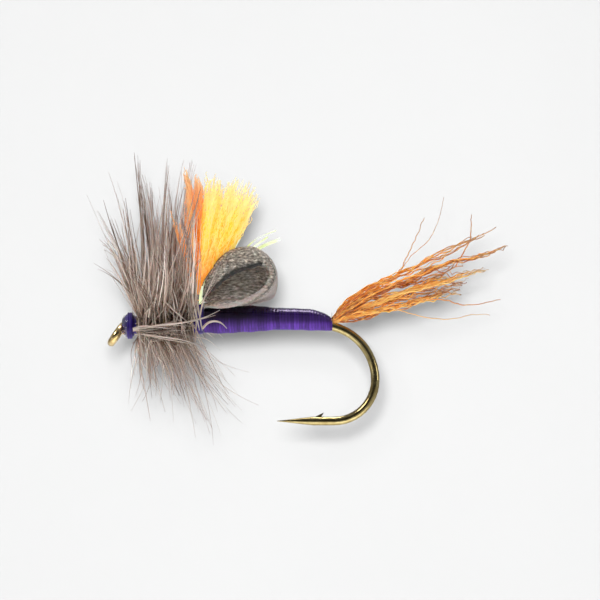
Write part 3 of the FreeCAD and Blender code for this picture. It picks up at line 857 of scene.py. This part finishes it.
def loose_tip(along, around, spread=6):
    """Where a barb's tip stands: forward in front, shorter and swept back underneath. spread is
    the scatter of its lean, in degrees."""
    up = math.cos(around)
    near = max(0.0, -math.sin(around)) ** 2
    drop = ((1 - up) / 2) ** 1.6
    lean = mix(mix(-14, 1, along), mix(4, 44, along), drop)
    lean = mix(lean, mix(3, 9, along), near)
    lean = math.radians(max(-27.0, lean + random.gauss(0, mix(spread, 2 * spread, drop))))
    length = HACKLE_REACH * (0.88 + 0.12 * up) * mix(0.36, 1.0, random.random() ** 1.4)
    length *= mix(1.0, mix(0.66, 1.12, along), max(0.0, -up))
    out = Vector((math.sin(lean), math.sin(around) * math.cos(lean), up * math.cos(lean)))
    return hackle_root(along, around) + out * length


def strap():
    """A broad, pale barb that lies loosely over the others on the near side."""
    along = random.uniform(0, 0.75)
    around = random.choice((-2.6, -0.5)) + random.gauss(0, 0.2)
    root = hackle_root(along, around)
    tip = root.lerp(loose_tip(along, around, spread=13), random.uniform(0.45, 0.85))
    bow = random_bow(0.9)
    line = barb_line(root, tip, bow, random.uniform(0, 400))
    return Strand(line, vary(0.050, 0.25), tip=0.2, flat=0.5, shade=random.uniform(0.4, 0.9))


def cross_barb():
    """A barb bent along the near side of the thorax: back over it, up, or down and back."""
    way = random.random()
    if way < 0.22:
        root = Vector((random.uniform(0.75, 1.6), -0.60, random.uniform(-0.25, 0.45)))
        reach = Vector((random.uniform(1.0, 2.2), -0.42, random.gauss(0.0, 0.30)))
    elif way < 0.68:
        root = Vector((random.uniform(0.9, 3.6), -0.66, random.uniform(-0.30, 0.80)))
        slant = random.gauss(0.05, 0.34) - 0.3 * max(0.0, root.x - 2.6)
        reach = Vector((slant, -0.16, 1.0)) * random.uniform(1.0, 3.8)
    else:
        root = Vector((random.uniform(1.0, 3.4), -0.66, random.uniform(0.10, 0.90)))
        reach = Vector((random.uniform(0.0, 0.6), -0.16, -1.0)) * random.uniform(1.2, 3.4)
    bow = Vector((random.gauss(0, 0.08), -0.30, random.gauss(0, 0.09)))
    line = barb_line(root, root + reach, bow, root.x * 90)
    thick = vary(0.044, 0.25)
    return Strand(line, thick, tip=0.25, flat=0.6, shade=random.uniform(0.1, 0.75), begin=0.25)


def fine_barbs(count, first, middle, spread):
    """Thin single barbs, rooted from first to the quill's rear end, round about one direction."""
    strands = []
    for _ in range(count):
        along, around = random.uniform(first, 1), middle + random.uniform(-spread, spread)
        bow = random_bow(0.6)
        line = barb_line(hackle_root(along, around), loose_tip(along, around), bow, 0)
        strands.append(Strand(line, vary(0.014, 0.3), tip=0.4, shade=random.uniform(0.2, 0.8)))
    return strands


def ring_clump(share):
    """One clump of the ring round the quill: full and tight above, short and open below."""
    around = direction(share)
    along = random.uniform(0, mix(1.0, 0.55, max(0.0, -math.sin(around)) ** 3))
    tip = loose_tip(along, around)
    if math.cos(around) > -0.25:
        return clump(along, around, tip, random.randint(3, 6), 0.14)
    tip = hackle_root(along, around).lerp(tip, random.uniform(0.25, 0.9))
    return clump(along, around, tip, random.randint(2, 5), 0.40, 0.020)


def loose_barb():
    """A single barb that stands apart, thinner underneath."""
    along, around = random.uniform(0, 0.8), direction(random.random())
    bow = random_bow(0.9)
    thick = 0.024 if math.cos(around) > -0.3 else 0.016
    tip = loose_tip(along, around)
    return barb(hackle_root(along, around), tip, bow, vary(thick, 0.4), random.uniform(0, 400))


def quill_coil():
    """The quill's centreline, wound round the thorax from front to rear."""
    low, high = span("hackle_stem")
    radius = (high.z - low.z) / 2 - QUILL_RADIUS
    turns = (high.x - low.x - 2 * QUILL_RADIUS) / QUILL_PITCH
    coil = []
    for i in range(int(turns * COIL_POINTS)):
        angle = 2 * math.pi * i / COIL_POINTS
        x = low.x + QUILL_RADIUS + QUILL_PITCH * i / COIL_POINTS
        coil.append(Vector((x, radius * math.sin(angle), SHANK_Z + radius * math.cos(angle))))
    return coil


def make_hackle(material, quill_material):
    random.seed(8)
    strands = []
    for along, x, y, z, count in TOP_CLUMPS:
        strands += clump(along, math.atan2(y * 0.4, 2), Vector((x, y, z)), count, 0.10)
    for i in range(RING_CLUMPS):
        strands += ring_clump(i / (RING_CLUMPS - 1))
    strands += [strap() for _ in range(STRAPS)]
    strands += [cross_barb() for _ in range(CROSS_BARBS)]
    strands += fine_barbs(120, 0.0, 0.0, 1.1)
    strands += fine_barbs(70, 0.2, math.pi, 0.8)
    strands += [loose_barb() for _ in range(LOOSE_BARBS)]
    for route, thick in HERO_BARBS:
        line = smooth_path([Vector(p) + HERO_SHIFT for p in route], 16)
        shade = random.uniform(0.5, 0.85)
        strands.append(Strand(line, thick * HERO_SWELL, tip=0.3, shade=shade, begin=0.4))
    settle(fibres("hackle_barbs", strands, material), "hackle_fibre", "hackle_fibres")
    coil = Strand(quill_coil(), QUILL_THICK, tip=0.7)
    stem = fibres("hackle_quill", [coil], quill_material, 10)
    settle(stem, "hackle_quill", "hackle_stem")


# ---- studio ------------------------------------------------------------------------------------
VIEW_CENTRE = Vector((8.276, 0.0, 1.579))  # what the camera looks at
VIEW_WIDTH = 27.06  # millimetres across the picture at the fly
LENS = 200.0  # a long lens, so that the fly is seen nearly square on
SENSOR = 36.0
PAPER_GLOW = 0.04  # of the wall behind the fly
FLOOR_GLOW = 0.42
ROOM_LIGHT = 0.55
DARK_SIDE = 0.06  # the room's light on the side that the fly is seen from
PAPER_WHITE = 0.30
PAPER_LIGHTS = [  # place beside the camera, size and watts: a crisp shadow and a wide soft one
    ("crisp_paper_light", (-0.3, 0, 1.0), 1.7, 1.64),
    ("soft_paper_light", (-0.4, 0, 1.7), 5.5, 0.70),
]


def make_camera():
    data = bpy.data.cameras.new("camera")
    data.lens, data.sensor_width = LENS, SENSOR
    data.clip_start = 0.001
    camera = bpy.data.objects.new("camera", data)
    bpy.context.scene.collection.objects.link(camera)
    distance = VIEW_WIDTH * LENS / SENSOR
    camera.location = (VIEW_CENTRE - Vector((0, distance, 0))) * MM
    camera.rotation_euler = (math.radians(90), 0, 0)
    bpy.context.scene.camera = camera
    return camera


def make_paper(material):
    """A seamless sweep: floor below and wall far behind, joined by a curve."""
    wall_y, floor_z, bend, reach = 170.0, -92.0, 60.0, 700.0
    profile = [Vector((0, -reach, floor_z))]
    for i in range(25):
        angle = math.radians(90 * i / 24)
        profile.append(Vector((0, wall_y - bend + bend * math.sin(angle),
                               floor_z + bend - bend * math.cos(angle))))
    profile.append(Vector((0, wall_y, reach)))
    verts = [(p + Vector((x, 0, 0))) * MM for p in profile for x in (-reach, reach)]
    faces = [(2 * i, 2 * i + 1, 2 * i + 3, 2 * i + 2) for i in range(len(profile) - 1)]
    paper = new_piece("studio_paper", verts, faces, material)
    return paper


def area_light(name, place, target, size, watts):
    data = bpy.data.lights.new(name, "AREA")
    data.shape, data.size = "DISK", size * MM
    data.energy = watts
    light = bpy.data.objects.new(name, data)
    bpy.context.scene.collection.objects.link(light)
    light.location = Vector(place) * MM
    light.visible_camera = False
    aim = (Vector(target) - Vector(place)).normalized()
    light.rotation_euler = aim.to_track_quat("-Z", "Y").to_euler()
    return light


def make_room():
    """A pale room, dark only on the side that the fly is seen from."""
    world = bpy.data.worlds.new("studio_room")
    world.use_nodes = True
    tree = world.node_tree
    direction = tree.nodes.new("ShaderNodeTexCoord")
    parts = tree.nodes.new("ShaderNodeSeparateXYZ")
    spread = tree.nodes.new("ShaderNodeMapRange")
    spread.inputs["From Min"].default_value = -0.86
    spread.inputs["From Max"].default_value = -0.10
    spread.inputs["To Min"].default_value = DARK_SIDE
    spread.inputs["To Max"].default_value = ROOM_LIGHT
    tree.links.new(direction.outputs["Generated"], parts.inputs["Vector"])
    tree.links.new(parts.outputs["Y"], spread.inputs["Value"])
    background = tree.nodes["Background"]
    background.inputs["Color"].default_value = (0.97, 0.98, 1.0, 1.0)
    tree.links.new(spread.outputs["Result"], background.inputs["Strength"])
    bpy.context.scene.world = world


def make_lights(paper, foam, camera):
    """Softboxes light the fly and not the paper, one fills the foam only, and two lights beside
    the camera light the paper only and so cast the fly's shadow on it."""
    fly = (6.0, 0.0, 1.5)
    all_but_paper = bpy.data.collections.new("lit_by_softboxes")
    all_but_paper.objects.link(paper)
    all_but_paper.collection_objects[0].light_linking.link_state = "EXCLUDE"
    for light in (
        area_light("top_softbox", (20, 40, 330), fly, 180, 0.88),
        area_light("left_softbox", (-240, -190, 210), fly, 150, 0.55),
        area_light("right_softbox", (320, -120, 40), fly, 120, 0.10),
        area_light("left_bounce", (-250, -170, -130), fly, 160, 0.16),
        area_light("low_bounce", (60, -60, -80), fly, 60, 0.01),
    ):
        light.light_linking.receiver_collection = all_but_paper
    foam_fill = area_light("foam_fill", (-40, -290, 20), fly, 90, 0.26)
    foam_fill.light_linking.receiver_collection = bpy.data.collections.new("lit_by_foam_fill")
    foam_fill.light_linking.receiver_collection.objects.link(foam)
    only_paper = bpy.data.collections.new("lit_by_paper_lights")
    only_paper.objects.link(paper)
    for name, aside, size, watts in PAPER_LIGHTS:
        place = camera.location / MM + Vector(aside)
        light = area_light(name, place, VIEW_CENTRE, size, watts)
        light.light_linking.receiver_collection = only_paper


def make_fly():
    """Dresses or rebuilds every piece, and returns the foam, which has a light of its own."""
    thread = purple_thread()
    coat = clear_varnish()
    tail_yarn = yarn(
        "tail_yarn", (0.38, 0.10, 0.02), (0.93, 0.29, 0.015), (1.0, 0.58, 0.16), 0.09,
        root=grey(1.0), tip=(0.22, 0.15, 0.12),
    )
    orange = yarn(
        "wing_orange", (0.80, 0.22, 0.03), (1.0, 0.38, 0.08), (1.0, 0.62, 0.28), 0.16,
        root=grey(1.0), tip=(1.0, 0.50, 0.26),
    )
    yellow = yarn(
        "wing_yellow", (1.0, 0.48, 0.02), (1.0, 0.72, 0.06), (1.0, 0.91, 0.36), 0.26,
        root=(1.0, 0.55, 0.30), tip=(1.0, 0.80, 0.40),
    )
    fur = dubbing_fur()
    barb_quill = quill()
    dress_cad("hook", bronze_wire())
    for node in ("thread_base", "tail_tie_wraps", "wing_post_wraps", "hackle_tie_off", "whip_finish"):
        dress_cad(node, thread)
    dress_cad("tail_yarn_butt", tail_yarn)
    dress_cad("wing_yarn_butt", yellow)
    dress_cad("head_cement", coat)
    make_abdomen(purple_floss())
    make_head(thread)
    make_thorax(fur)
    make_wing(orange, yellow)
    make_flash(pearl_film())
    make_tail(tail_yarn)
    make_hackle(dun_fibre(), barb_quill)
    return make_foam(closed_cell_foam())


foam_case = make_fly()
camera = make_camera()
make_room()
make_lights(make_paper(studio_paper()), foam_case, camera)
bpy.context.scene.view_settings.view_transform = "Standard"
